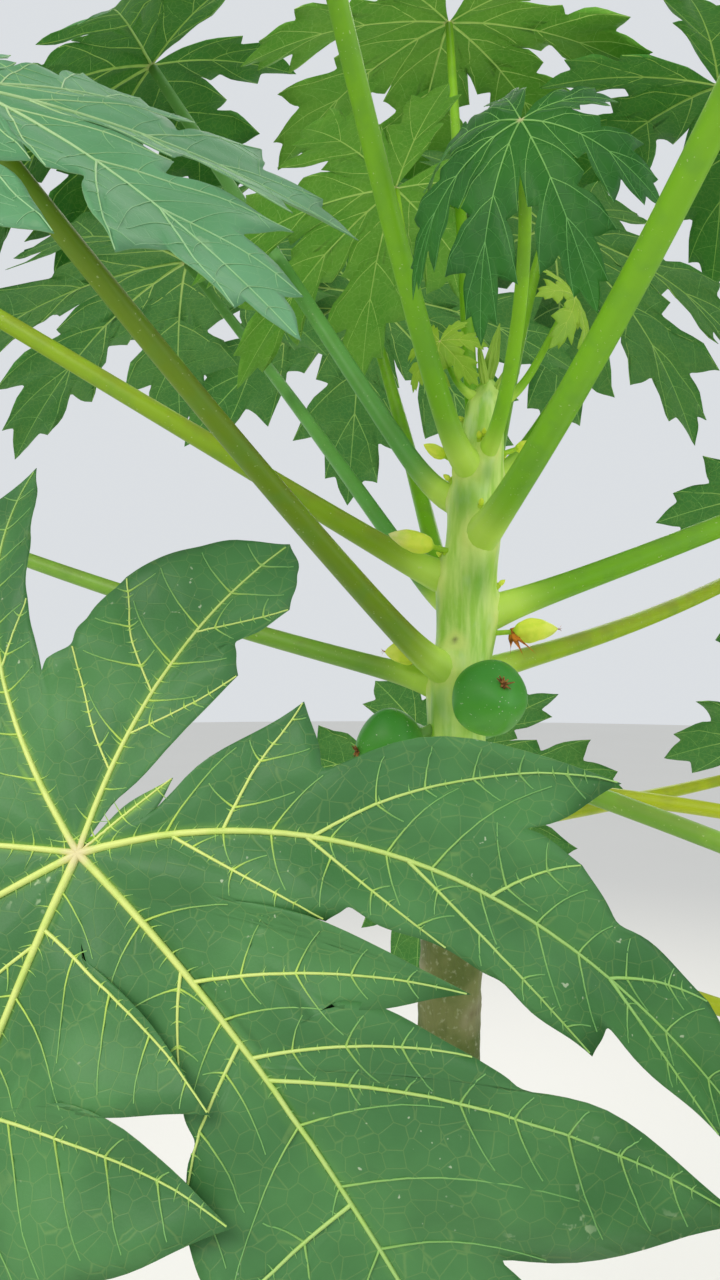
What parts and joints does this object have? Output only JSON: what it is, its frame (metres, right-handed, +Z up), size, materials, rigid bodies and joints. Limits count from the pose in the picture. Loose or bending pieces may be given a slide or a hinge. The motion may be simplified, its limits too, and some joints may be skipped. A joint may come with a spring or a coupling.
{
  "type": "papaya tree",
  "caption": "Young papaya tree with a slim leaning trunk, long green leaf stalks in a spiral, broad lobed leaves, small green fruit and flower buds, rooted in the ground",
  "frame": {"origin": "middle of the flat cut under the trunk, at ground level", "axes": "+Z is up along the trunk, -Y faces the side that the picture shows, +X is to the right there"},
  "size_m": [1.2404, 1.2472, 1.6501],
  "materials": {
    "bark": "ringed green-brown bark, satin",
    "green_stalk": "smooth waxy green, satin",
    "leaf_blade": "waxy leaf with pale veins, satin",
    "young_leaf": "soft yellow-green leaf, satin",
    "fruit_skin": "smooth green skin with a pale bloom, satin",
    "flower_bud": "smooth lime-green bud, satin"
  },
  "bodies": {
    "root": {"trunk": "bark", "stalk_01": "green_stalk", "blade_01": "leaf_blade", "stalk_02": "green_stalk", "blade_02": "leaf_blade", "stalk_03": "green_stalk", "blade_03": "leaf_blade", "stalk_04": "green_stalk", "blade_04": "leaf_blade", "stalk_05": "green_stalk", "blade_05": "leaf_blade", "stalk_06": "green_stalk", "blade_06": "leaf_blade", "stalk_07": "green_stalk", "blade_07": "leaf_blade", "stalk_08": "green_stalk", "blade_08": "leaf_blade", "stalk_09": "green_stalk", "blade_09": "leaf_blade", "stalk_10": "green_stalk", "blade_10": "leaf_blade", "stalk_11": "green_stalk", "blade_11": "leaf_blade", "stalk_12": "green_stalk", "blade_12": "leaf_blade", "stalk_13": "green_stalk", "blade_13": "leaf_blade", "stalk_14": "green_stalk", "blade_14": "leaf_blade", "stalk_15": "green_stalk", "blade_15": "leaf_blade", "stalk_16": "green_stalk", "blade_16": "leaf_blade", "stalk_17": "green_stalk", "blade_17": "leaf_blade", "stalk_18": "green_stalk", "blade_18": "leaf_blade", "stalk_19": "green_stalk", "blade_19": "leaf_blade", "stalk_20": "green_stalk", "blade_20": "leaf_blade", "stalk_21": "green_stalk", "blade_21": "leaf_blade", "stalk_22": "green_stalk", "blade_22": "leaf_blade", "stalk_23": "green_stalk", "blade_23": "young_leaf", "stalk_24": "green_stalk", "blade_24": "young_leaf", "fruit_1": "fruit_skin", "fruit_2": "fruit_skin", "fruit_3": "fruit_skin", "fruit_4": "fruit_skin", "bud_1": "flower_bud", "bud_2": "flower_bud", "bud_3": "flower_bud", "bud_4": "flower_bud", "bud_5": "flower_bud", "bud_6": "flower_bud", "spear": "young_leaf"}
  },
  "joints": []
}
